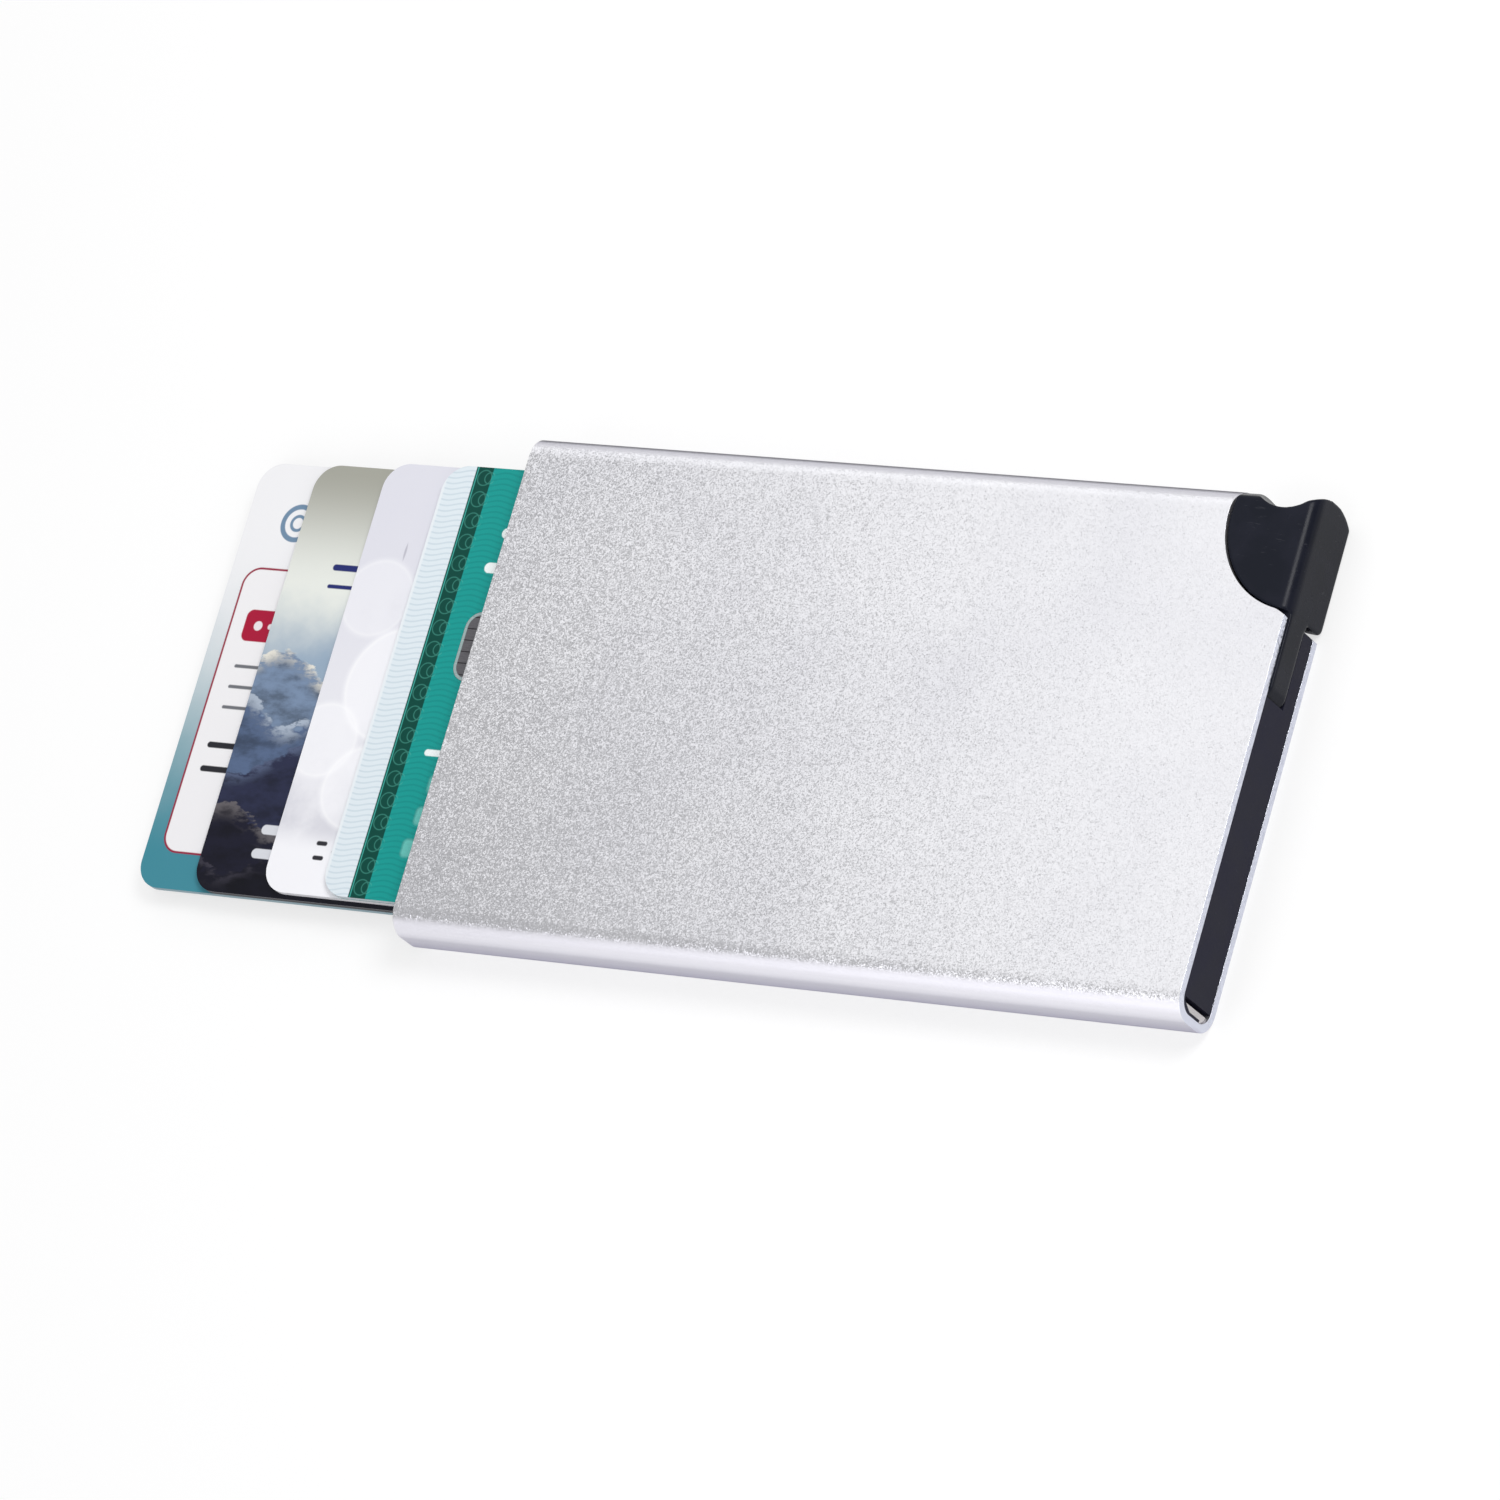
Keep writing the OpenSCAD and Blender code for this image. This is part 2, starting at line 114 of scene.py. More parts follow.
# Case finish: where a look starts and is full, in mm inside a long edge, the far end or the mouth.
SMOOTH_EDGE = (1.9, 1.2)
UPPER_EDGE = (1.3, 0.7)
CONTACT_SHADE_EDGE = (0.5, 0.1)
WORN_END = (0.25, 0.02)
WORN_MOUTH = (0.2, 0.02)
SAWN_END = (0.05, 0.01)

# Case finish: how metallic and rough, what smooth edge, wear, draw lines and upper edge add to the roughness,
# and how far the grain calms on a smooth edge, over the first stretch (in mm) and over the whole length.
CASE_METAL = 0.9
CASE_ROUGH = 0.29
SMOOTH_ROUGH = 0.14
WORN_ROUGH = -0.06
DRAWN_ROUGH = 0.03
UPPER_ROUGH = -0.22
SMOOTH_CALM = 0.85
NEAR_CALM = 0.2
CALM_RUN = 30
FAR_CALM = 0.12

# Blasted grain, fine and broad: grains per mm and how far each one tilts.
FINE_GRAIN = (7.5, 0.18)
BROAD_GRAIN = (3.0, 0.03)


def srgb(r, g, b):
    """Linear colour from 0-255 screen values."""
    def lin(c):
        c /= 255
        return c / 12.92 if c <= 0.04045 else ((c + 0.055) / 1.055) ** 2.4
    return (lin(r), lin(g), lin(b), 1.0)


# ---------------------------------------------------------------- materials

class Val:
    """An output in a material, with arithmetic that adds Math nodes."""

    def __init__(self, finish, out):
        self.finish, self.out = finish, out

    def math(self, how, *values):
        return self.finish.node("ShaderNodeMath", {"operation": how}, *values)

    def __add__(self, other):
        return self.math("ADD", self, other)

    def __sub__(self, other):
        return self.math("SUBTRACT", self, other)

    def __rsub__(self, other):
        return self.math("SUBTRACT", other, self)

    def __mul__(self, other):
        return self.math("MULTIPLY", self, other)

    def __abs__(self):
        return self.math("ABSOLUTE", self)

    def most(self, other):
        return self.math("MAXIMUM", self, other)

    def sin(self):
        return self.math("SINE", self)

    def root(self):
        return self.math("SQRT", self)

    def wrap(self, length):
        return self.math("WRAP", self, length, 0.0)

    __radd__ = __add__
    __rmul__ = __mul__


class Finish:
    """A procedural material on Object coordinates; x, y and z are in mm in the CAD frame."""

    def __init__(self, name):
        self.mat = bpy.data.materials.new(name)
        self.mat.use_nodes = True
        self.tree = self.mat.node_tree
        self.tree.nodes.clear()
        place = self.node("ShaderNodeTexCoord", {}, out="Object")
        self.pos = self.node("ShaderNodeVectorMath", {"operation": "SCALE"}, place, Scale=1 / MM)
        parts = self.node("ShaderNodeSeparateXYZ", {}, self.pos)
        self.x, self.y, self.z = (Val(self, parts.out.node.outputs[i]) for i in range(3))

    def node(self, kind, settings, *values, out=0, **named):
        """Output of a new node; values go to its sockets in order, named ones by name."""
        made = self.tree.nodes.new(kind)
        for key, value in settings.items():
            setattr(made, key, value)
        for socket, value in zip(made.inputs, values):
            self.plug(socket, value)
        for key, value in named.items():
            self.plug(made.inputs[key], value)
        return Val(self, made.outputs[out])

    def plug(self, socket, value):
        """Links a Val to a socket, or sets the socket to a plain value; None leaves it alone."""
        if isinstance(value, Val):
            self.tree.links.new(value.out, socket)
        elif value is not None:
            socket.default_value = value

    def mix(self, share, a, b):
        """Colour a where share is 0, colour b where it is 1."""
        made = self.tree.nodes.new("ShaderNodeMix")
        made.data_type = "RGBA"
        for i, value in ((0, share), (6, a), (7, b)):
            self.plug(made.inputs[i], value)
        return Val(self, made.outputs[2])

    def rise(self, value, start, end):
        """0 before start, 1 after end, smooth between them; start may be the larger."""
        lo, hi = min(start, end), max(start, end)
        up = self.node("ShaderNodeMapRange", {"interpolation_type": "SMOOTHSTEP"}, value, lo, hi, 0.0, 1.0)
        return up if start < end else 1 - up

    def noise(self, scale, detail=2.0, rough=0.5, at=None):
        """Cloudy noise from 0 to 1; scale is in waves per mm."""
        at = at or self.pos
        return self.node("ShaderNodeTexNoise", {}, Vector=at, Scale=scale, Detail=detail, Roughness=rough)

    def stretched(self, sx, sy, sz):
        """Place times a factor along each axis, for noise that runs along one of them."""
        return self.node("ShaderNodeVectorMath", {"operation": "MULTIPLY"}, self.pos, (sx, sy, sz))

    def pitted(self, share, *grains):
        """The surface's normal, tilted at random from grain to grain; each has a scale and a tilt."""
        total = self.node("ShaderNodeNewGeometry", {}, out="Normal")
        for scale, tilt in grains:
            grain = self.node("ShaderNodeTexVoronoi", {}, Vector=self.pos, Scale=scale, out="Color")
            lean = self.node("ShaderNodeVectorMath", {"operation": "SUBTRACT"}, grain, (0.5, 0.5, 0.5))
            lean = self.node("ShaderNodeVectorMath", {"operation": "SCALE"}, lean, Scale=share * (2 * tilt))
            total = self.node("ShaderNodeVectorMath", {"operation": "ADD"}, total, lean)
        return self.node("ShaderNodeVectorMath", {"operation": "NORMALIZE"}, total)

    def close(self, color, rough, metal=0.0, height=None, depth=0.0, coat=0.0, coat_rough=0.05, specular=0.5,
              edge_tint=None, normal=None):
        """Shader with a bump of the given depth in mm, or with a normal of its own."""
        shader = self.tree.nodes.new("ShaderNodeBsdfPrincipled")
        for key, value in (("Base Color", color), ("Roughness", rough), ("Metallic", metal),
                           ("Coat Weight", coat), ("Coat Roughness", coat_rough),
                           ("Specular IOR Level", specular), ("Specular Tint", edge_tint),
                           ("Normal", normal)):
            self.plug(shader.inputs[key], value)
        if height is not None:
            bump = self.node("ShaderNodeBump", {}, Strength=1.0, Distance=depth * MM, Height=height)
            self.plug(shader.inputs["Normal"], bump)
        return self.ends_in(shader.outputs[0])

    def ends_in(self, shader):
        """The material, with a shader's output as its surface."""
        end = self.tree.nodes.new("ShaderNodeOutputMaterial")
        self.tree.links.new(shader, end.inputs[0])
        return self.mat


def anodised(name):
    """Silver anodised aluminium, sand-blasted: each pit tilts its own way, so that the surface sparkles.
    Painted shade darkens the outer long sides towards the back and the upper edge's grazing reflections.
    """
    f = Finish(name)

    def near(value, plane, span, inward=-1):
        """0 to 1 between two distances inside a plane."""
        return f.rise(value, plane + inward * span[0], plane + inward * span[1])

    cloud = f.noise(0.05, 2.0, 0.5)
    drawn = f.noise(2.0, 3.0, 0.6, f.stretched(0.02, 1.4, 1.4))
    smooth = near(abs(f.y), HALF_W, SMOOTH_EDGE)
    tone = f.mix(f.rise(cloud, 0.3, 0.7), srgb(240, 240, 245), srgb(246, 246, 250))
    tone = f.mix(smooth, tone, f.mix(drawn, srgb(236, 235, 242), srgb(244, 243, 249)))
    worn = near(f.x, END_X, WORN_END).most(near(f.x, MOUTH_X, WORN_MOUTH, 1))
    tone = f.mix(worn * 0.7, tone, srgb(248, 248, 250))
    tone = f.mix(near(f.x, END_X, SAWN_END), tone, srgb(228, 231, 243))
    # Painted shade: the outermost long sides are toned darker towards the back, where the floor's contact
    # shadow falls.
    painted_contact_shade = f.rise(f.z, TUBE_T - EDGE_R, 0.6 * EDGE_R) * near(abs(f.y), HALF_W, CONTACT_SHADE_EDGE)
    tone = f.mix(painted_contact_shade * 0.7, tone, srgb(206, 204, 220))
    upper = near(f.y, HALF_W, UPPER_EDGE)
    rough = (CASE_ROUGH + SMOOTH_ROUGH * smooth + WORN_ROUGH * worn
             + DRAWN_ROUGH * drawn + UPPER_ROUGH * upper)
    # Tint of grazing reflections, painted darker on the upper long edge: a painted dark reflection along that
    # edge.
    edge_tint_painted_upper = f.mix(upper, srgb(92, 90, 114), srgb(48, 46, 58))
    calm = NEAR_CALM * f.rise(f.x, MOUTH_X, MOUTH_X + CALM_RUN) + FAR_CALM * f.rise(f.x, MOUTH_X, END_X)
    share = (1 - SMOOTH_CALM * smooth) * (1 - calm)
    grain = f.pitted(share, FINE_GRAIN, BROAD_GRAIN)
    return f.close(tone, rough, CASE_METAL, edge_tint=edge_tint_painted_upper, normal=grain)


def satin_plastic(name, dark, light, rough, grain_depth=0.012, grain_scale=5.0, specular=0.5):
    """Moulded plastic with a fine spark-eroded grain and faint rubbed patches."""
    f = Finish(name)
    grain = f.noise(grain_scale, 3.0, 0.6)
    patch = f.rise(f.noise(0.22, 3.0, 0.55), 0.35, 0.7)
    scuff = f.rise(f.noise(1.2, 4.0, 0.7, f.stretched(0.25, 1.6, 1.0)), 0.62, 0.72)
    tone = f.mix(patch, dark, light)
    tone = f.mix(scuff * 0.12, tone, f.mix(0.5, light, srgb(150, 150, 156)))
    return f.close(tone, rough + 0.1 * patch + 0.08 * scuff, 0.0, grain, grain_depth, specular=specular)


def ground_steel(name):
    """Pins, ground round about their axis."""
    f = Finish(name)
    rings = f.noise(3.0, 3.0, 0.6, f.stretched(0.3, 0.3, 6.0))
    tone = f.mix(rings, srgb(176, 176, 180), srgb(214, 214, 216))
    return f.close(tone, 0.22 + 0.15 * rings, 1.0, rings, 0.004)


def strip_rubber(name):
    """Dark rubber with dusty patches."""
    f = Finish(name)
    dust = f.noise(1.5, 4.0, 0.7)
    tone = f.mix(f.rise(dust, 0.45, 0.75) * 0.35, srgb(34, 34, 37), srgb(92, 92, 94))
    return f.close(tone, 0.72 + 0.15 * dust, 0.0, f.noise(7.0, 2.0, 0.5), 0.02, specular=0.3)


class CardFinish(Finish):
    """A printed card; u runs from its left edge and v from its lower edge, in mm."""

    def __init__(self, name, node):
        super().__init__(name)
        low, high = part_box(node)
        self.back, self.front = low.z / MM, high.z / MM
        self.u = self.x - low.x / MM
        self.v = self.y - low.y / MM

    def rounded(self, u0, u1, v0, v1, r):
        """Distance outside a rounded box, negative inside it."""
        a = (abs(self.u - (u0 + u1) / 2) - ((u1 - u0) / 2 - r)).most(0.0)
        b = (abs(self.v - (v0 + v1) / 2) - ((v1 - v0) / 2 - r)).most(0.0)
        return (a * a + b * b).root() - r

    def disc(self, u, v, r):
        """Distance outside a circle, negative inside it."""
        a, b = self.u - u, self.v - v
        return (a * a + b * b).root() - r

    def inside(self, distance, soft=0.08):
        """1 where a distance is negative."""
        return self.rise(distance, soft, -soft)

    def line(self, distance, half, soft=0.08):
        """1 on a line of the given half width, where a distance is near 0."""
        return self.rise(abs(distance), half + soft, half - soft)

    def bars(self, color, tone, rows):
        """Plain bars for lines of print; a row is left end, middle height, length and thickness."""
        for u, v, length, thick in rows:
            bar = self.rounded(u, u + length, v - thick / 2, v + thick / 2, thick / 2)
            color = self.mix(self.inside(bar), color, tone)
        return color

    def finish(self, front, edge, back, height=None, depth=0.0):
        """Print on the front, core colour on the edges, plain print on the back, clear film over all."""
        on_front = self.rise(self.z, self.front - 0.04, self.front - 0.01)
        on_back = self.rise(self.z, self.back + 0.1, self.back + 0.09)
        core = self.rise(abs(self.z - (self.front + self.back) / 2), 0.3, 0.26)
        side = self.mix(core, self.mix(0.5, edge, srgb(196, 198, 204)), edge)
        wear = self.noise(0.35, 4.0, 0.65)
        color = self.mix(on_front, self.mix(on_back, side, back), front)
        rough = 0.26 + 0.12 * wear + 0.25 * (1 - on_front)
        return self.close(color, rough, 0.0, height, depth, coat=0.1, coat_rough=0.1, specular=0.2)


def card_back_print(f, tone, line):
    """Fine wavy lines and two plain bars of small print."""
    wave = (f.v * 4.2 + (f.u * 0.55).sin() * 1.3).sin()
    color = f.mix(f.rise(wave, 0.55, 0.95) * 0.35, tone, line)
    return f.bars(color, line, [(7, 6.5, 52, 0.5), (7, 4.6, 44, 0.5)])


def print_rear(name, node):
    """Pale top fading to teal, an off-white panel with a dark red rule and plain grey bars."""
    f = CardFinish(name, node)
    haze = f.noise(0.16, 3.0, 0.5)
    fade = f.rise(f.v + 6 * haze, 6.0, 48.0)
    ground = f.mix(fade, srgb(66, 138, 154), srgb(241, 241, 243))
    ring = f.line(f.disc(7.4, 46.6, 2.1), 0.32).most(f.line(f.disc(7.4, 46.6, 0.9), 0.2))
    ground = f.mix(ring * 0.85, ground, srgb(58, 112, 150))
    panel = f.rounded(2.2, 82.0, 4.6, 40.6, 2.2)
    front = f.mix(f.inside(panel), ground, srgb(240, 239, 241))
    front = f.mix(f.line(panel, 0.13), front, srgb(150, 36, 62))
    band = f.rounded(4.2, 60.0, 31.4, 35.4, 0.9)
    front = f.mix(f.inside(band), front, srgb(170, 24, 58))
    front = f.bars(front, srgb(236, 226, 230), [(5.6, 33.4, 1.2, 1.2), (7.6, 33.4, 9.0, 0.7)])
    rules = ((28.2, 18), (25.6, 26), (23.0, 21))
    front = f.bars(front, srgb(112, 114, 120), [(4.6, v, w, 0.42) for v, w in rules])
    front = f.bars(front, srgb(42, 42, 48), [(4.2, 18.2, 22, 0.75), (4.2, 15.2, 17, 0.75)])
    back = card_back_print(f, srgb(226, 232, 235), srgb(150, 176, 186))
    return f.finish(front, srgb(150, 178, 188), back)


def print_waves(name, node):
    """Khaki to pale sky over long flowing waves, steel blue to navy."""
    f = CardFinish(name, node)
    haze = f.noise(0.11, 4.0, 0.6)
    curl = f.noise(0.5, 5.0, 0.62, f.stretched(0.5, 1.0, 1.0))
    front = f.mix(f.rise(f.v, 38.0, 54.0), srgb(231, 234, 228), srgb(164, 164, 154))
    front = f.mix(f.rise(f.v + 8 * haze, 42.0, 32.5), front, srgb(150, 170, 190))
    for v, lift, run, shift, body, crest in (
            (28.0, 2.4, 0.34, 0.4, (122, 142, 170), (236, 232, 220)),
            (22.5, 1.9, 0.42, 2.0, (88, 106, 138), (176, 188, 204)),
            (17.0, 2.2, 0.3, 4.4, (44, 48, 74), (92, 104, 134)),
            (9.0, 1.8, 0.38, 0.9, (27, 27, 44), (104, 100, 104)),
            (3.5, 1.2, 0.5, 3.0, (20, 20, 33), (60, 58, 70))):
        top = v + lift * (f.u * run + shift).sin() + 5.0 * (curl - 0.5)
        under = f.v - top
        water = f.mix(f.rise(curl, 0.35, 0.7), srgb(*body), srgb(*(c * 0.7 for c in body)))
        front = f.mix(f.rise(under, 0.2, -0.2), front, water)
        foam = f.rise(under, -2.6, -0.2) * f.rise(under, 0.3, 0.0) * f.rise(curl, 0.42, 0.6)
        front = f.mix(foam * 0.9, front, srgb(*crest))
    front = f.bars(front, srgb(38, 46, 110), [(6.2, 41.2, 9.0, 0.8), (6.2, 38.8, 6.0, 0.5)])
    front = f.bars(front, srgb(214, 216, 222), [(7.4, 8.2, 12.0, 1.2), (7.0, 5.2, 16.0, 1.2)])
    back = card_back_print(f, srgb(70, 74, 92), srgb(120, 126, 146))
    return f.finish(front, srgb(26, 26, 32), back)


def print_soft(name, node):
    """Pale lavender with large soft discs, white towards the lower edge."""
    f = CardFinish(name, node)
    haze = f.noise(0.14, 4.0, 0.6)
    front = f.mix(f.rise(f.v, 8.0, 50.0), srgb(234, 234, 239), srgb(222, 222, 231))
    front = f.mix(f.rise(haze + 0.012 * f.v, 0.85, 0.4) * 0.6, front, srgb(192, 192, 203))
    for u, v, r, share in ((4.0, 37.0, 5.0, 0.35), (10.5, 26.5, 7.4, 0.6),
                           (2.5, 19.0, 4.8, 0.5), (9.5, 13.5, 5.4, 0.55)):
        disc = f.disc(u, v, r)
        front = f.mix(f.inside(disc, 0.5) * share, front, srgb(250, 250, 253))
        front = f.mix(f.line(disc + 0.35, 0.12, 0.25) * share * 0.6, front, srgb(255, 255, 255))
    front = f.mix(f.rise(f.v, 9.0, 5.0), front, srgb(244, 244, 248))
    front = f.bars(front, srgb(190, 189, 200), [(5.8, 43.0, 0.3, 9.0)])
    dashes = [(5.9, 6.4, 1.5, 0.55), (5.9, 4.6, 1.5, 0.55), (8.3, 5.5, 1.3, 0.55)]
    front = f.bars(front, srgb(48, 48, 54), dashes)
    back = card_back_print(f, srgb(222, 221, 230), srgb(182, 181, 196))
    return f.finish(front, srgb(240, 240, 244), back)


def print_teal(name, node):
    """Pale strip, dark green band with a chain of rings, teal field with fine lines."""
    f = CardFinish(name, node)
    wave = (f.v * 9.0 + (f.u * 1.3).sin() * 1.8).sin()
    pale = f.mix(f.rise(wave, 0.3, 0.9) * 0.4, srgb(222, 232, 238), srgb(176, 196, 208))
    field = f.mix(f.rise(wave, 0.2, 0.85) * 0.4, srgb(20, 152, 145), srgb(8, 126, 122))
    front = f.mix(f.rise(f.u, 5.6, 5.75), pale, field)
    band = f.rise(f.u, 4.0, 4.1) * f.rise(f.u, 6.5, 6.4)
    front = f.mix(band, front, srgb(0, 70, 60))
    rings = None
    pitch = 2.7
    step = f.v.wrap(pitch) - pitch / 2
    for du, r in ((0.0, 0.95), (0.75, 0.7)):
        a = f.u - (5.5 + du)
        ring = f.line((a * a + step * step).root() - r, 0.06, 0.07)
        rings = ring if rings is None else rings.most(ring)
    front = f.mix(rings * f.rise(f.u, 4.4, 4.5) * f.rise(f.u, 6.9, 6.8) * 0.4, front, srgb(84, 176, 158))
    front = f.mix(f.line(f.u - 4.3, 0.06), front, srgb(70, 178, 166))
    front = f.mix(f.rise(f.u, 0.5, 0.2), front, srgb(232, 238, 242))
    marks = None
    for u, v in ((10.4, 14.6), (9.9, 10.6), (9.4, 6.6)):
        for du, w in ((0.0, 1.5), (2.6, 1.2)):
            bar = f.inside(f.rounded(u + du, u + du + w, v - 1.1, v + 1.1, 0.55), 0.25)
            marks = bar if marks is None else marks.most(bar)
    front = f.mix(marks * 0.7, front, srgb(120, 205, 195))
    lines = [(10.2, 46.0, 14.0, 1.3), (9.2, 41.6, 18.0, 1.3), (8.6, 18.4, 7.0, 0.8)]
    front = f.bars(front, srgb(240, 246, 246), lines)
    back = card_back_print(f, srgb(32, 140, 134), srgb(120, 196, 186))
    return f.finish(front, srgb(214, 222, 228), back, marks, 0.12)


def stripe_print(name):
    """Magnetic stripe, rubbed along its length."""
    f = Finish(name)
    rub = f.noise(0.8, 4.0, 0.6, f.stretched(0.08, 1.0, 1.0))
    return f.close(f.mix(rub, srgb(30, 24, 22), srgb(62, 54, 50)), 0.28 + 0.2 * rub, 0.0, rub, 0.004)


def sign_print(name):
    """Matt writing strip with fine slanted lines."""
    f = Finish(name)
    lines = ((f.x + f.y) * 5.0).sin()
    paper = f.noise(3.0, 3.0, 0.6)
    tone = f.mix(f.rise(lines, 0.6, 0.95) * 0.4, srgb(238, 238, 234), srgb(196, 204, 216))
    return f.close(tone, 0.62 + 0.2 * paper, 0.0, paper, 0.01, specular=0.3)


def contact_lands(name, node):
    """Plated contact lands: grey, parted by dark grooves, with a light rim."""
    f = CardFinish(name, node)
    low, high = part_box(node)
    u_far, v_far = (high.x - low.x) / MM, (high.y - low.y) / MM
    rim = f.rounded(0.0, u_far, 0.0, v_far, 2.0)
    row = v_far / 6
    groove = f.line(f.v.wrap(row) - row / 2, 0.07, 0.06)
    groove = groove * f.rise(abs(f.u - u_far / 2), u_far * 0.18, u_far * 0.2)
    middle = f.line(f.rounded(u_far * 0.3, u_far * 0.7, v_far * 0.17, v_far * 0.83, 1.2), 0.07, 0.06)
    groove = groove.most(middle)
    brush = f.noise(2.5, 3.0, 0.6, f.stretched(0.4, 3.0, 1.0))
    tone = f.mix(brush, srgb(92, 91, 96), srgb(124, 122, 127))
    tone = f.mix(groove, tone, srgb(44, 42, 46))
    tone = f.mix(f.rise(rim, -0.42, -0.3), tone, srgb(176, 196, 196))
    return f.close(tone, 0.34 + 0.14 * brush, 0.6, 1 - groove, 0.03)


# ------------------------------------------------------------------- meshes

def add_object(name, mesh):
    """A new object of a mesh, in the scene."""
    obj = bpy.data.objects.new(name, mesh)
    bpy.context.scene.collection.objects.link(obj)
    return obj


def object_from(bm, name):
    """A new object of bm's mesh; bm is freed."""
    mesh = bpy.data.meshes.new(name)
    bm.to_mesh(mesh)
    bm.free()
    return add_object(name, mesh)


def lofted(loops, closed, name):
    """An object through loops of points in mm: back to the first loop if closed, or else capped."""
    bm = bmesh.new()
    rings = [[bm.verts.new([c * MM for c in point]) for point in loop] for loop in loops]
    for a, b in zip(rings, rings[1:] + rings[:1] if closed else rings[1:]):
        for i in range(len(a)):
            j = (i + 1) % len(a)
            bm.faces.new((a[i], a[j], b[j], b[i]))
    if not closed:
        bm.faces.new(rings[0])
        bm.faces.new(rings[-1])
    bmesh.ops.recalc_face_normals(bm, faces=bm.faces)
    return object_from(bm, name)


def settled(obj, name, mat, body, slot, *nodes):
    """Bakes obj's modifiers into a plain mesh that rides on a body and stands for some CAD nodes."""
    graph = bpy.context.evaluated_depsgraph_get()
    mesh = bpy.data.meshes.new_from_object(obj.evaluated_get(graph))
    made = add_object(name, mesh)
    bpy.data.objects.remove(obj)
    mesh.materials.clear()
    mesh.materials.append(mat)
    for face in mesh.polygons:
        face.material_index = 0
    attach(made, body)
    if nodes:
        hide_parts(*nodes)
    return made


def prism(name, outline, low, high):
    """Closed upright block of the given plan outline, in mm."""
    return lofted([[(x, y, z) for x, y in outline] for z in (low, high)], False, name)


def edge_loop(x, half_w, low, high, r):
    """Points round a flat profile with rounded corners, at one x, in mm."""
    corners = ((half_w - r, high - r), (r - half_w, high - r), (r - half_w, low + r), (half_w - r, low + r))
    points = []
    for quarter, (cy, cz) in enumerate(corners):
        for i in range(EDGE_STEPS + 1):
            a = math.radians(90 * quarter + 90 * i / EDGE_STEPS)
            points.append((x, cy + r * math.cos(a), cz + r * math.sin(a)))
    return points


def tube_blank(name):
    """The whole tube before its notch is cut."""
    outer = (HALF_W, 0, TUBE_T, EDGE_R)
    inner = (HALF_W - WALL, WALL, TUBE_T - WALL, EDGE_R - WALL)
    ends = ((MOUTH_X, outer), (END_X, outer), (END_X, inner), (MOUTH_X, inner))
    return lofted([edge_loop(x, *profile) for x, profile in ends], True, name)


def cut(obj, cutter):
    """Takes the cutter's space out of obj."""
    mod = obj.modifiers.new("cut", "BOOLEAN")
    mod.operation, mod.solver, mod.object = "DIFFERENCE", "EXACT", cutter
    graph = bpy.context.evaluated_depsgraph_get()
    mesh = bpy.data.meshes.new_from_object(obj.evaluated_get(graph))
    obj.modifiers.clear()
    obj.data = mesh
    bpy.data.objects.remove(cutter)


def soften(obj, width, steps):
    """Rounds the sharp edges by a width in mm and smooths the curved faces."""
    bm = bmesh.new()
    bm.from_mesh(obj.data)
    bmesh.ops.remove_doubles(bm, verts=bm.verts, dist=NEAR_POINT * MM)
    bmesh.ops.dissolve_limit(bm, angle_limit=math.radians(FLAT_ANGLE), verts=bm.verts, edges=bm.edges)
    for face in bm.faces:
        face.smooth = True
    bm.to_mesh(obj.data)
    bm.free()
    bevel = obj.modifiers.new("soften", "BEVEL")
    bevel.width, bevel.segments, bevel.limit_method = width * MM, steps, "ANGLE"
    bevel.angle_limit = math.radians(BEVEL_ANGLE)
    bevel.use_clamp_overlap = True
    bevel.harden_normals = False
    even = obj.modifiers.new("even", "WEIGHTED_NORMAL")
    even.mode, even.weight, even.keep_sharp = "FACE_AREA", 100, False


def copy_of(node, name):
    """A merged copy of a CAD node's mesh."""
    mesh = frame["nodes"][node].data.copy()
    bm = bmesh.new()
    bm.from_mesh(mesh)
    bmesh.ops.remove_doubles(bm, verts=bm.verts, dist=SAME_POINT * MM)
    bm.to_mesh(mesh)
    bm.free()
    return add_object(name, mesh)


def round_over(obj, middle, radius, turn, low, fillet):
    """Rounds the lower rim of an upright round face of obj, from one angle to another, by a radius in mm."""
    under, beyond = low - OVERRUN, radius + OVERRUN
    rim = [(radius - fillet, under), (beyond, under), (beyond, low + fillet)]
    for i in range(ROUND_STEPS + 1):
        a = math.radians(-90 * i / ROUND_STEPS)
        rim.append((radius - fillet + fillet * math.cos(a), low + fillet + fillet * math.sin(a)))
    loops = []
    for i in range(NOTCH_STEPS + 1):
        a = math.radians(turn[0] + (turn[1] - turn[0]) * i / NOTCH_STEPS)
        loops.append([(middle[0] + r * math.cos(a), middle[1] + r * math.sin(a), z) for r, z in rim])
    cut(obj, lofted(loops, False, "rim_cutter"))


def ease_edge(obj, x, z, up, y_low, y_high, radius):
    """Rounds obj's straight edge along y at x and z, on its upper or its lower side, by a radius in mm."""
    side = 1 if up else -1
    above, beyond = z + side * OVERRUN, x + OVERRUN
    profile = [(x - radius, above), (beyond, above), (beyond, z - side * radius)]
    for i in range(ROUND_STEPS + 1):
        a = math.radians(90 * i / ROUND_STEPS)
        profile.append((x - radius + radius * math.cos(a), z - side * radius * (1 - math.sin(a))))
    cut(obj, lofted([[(px, y, pz) for px, pz in profile] for y in (y_low, y_high)], False, "edge_cutter"))


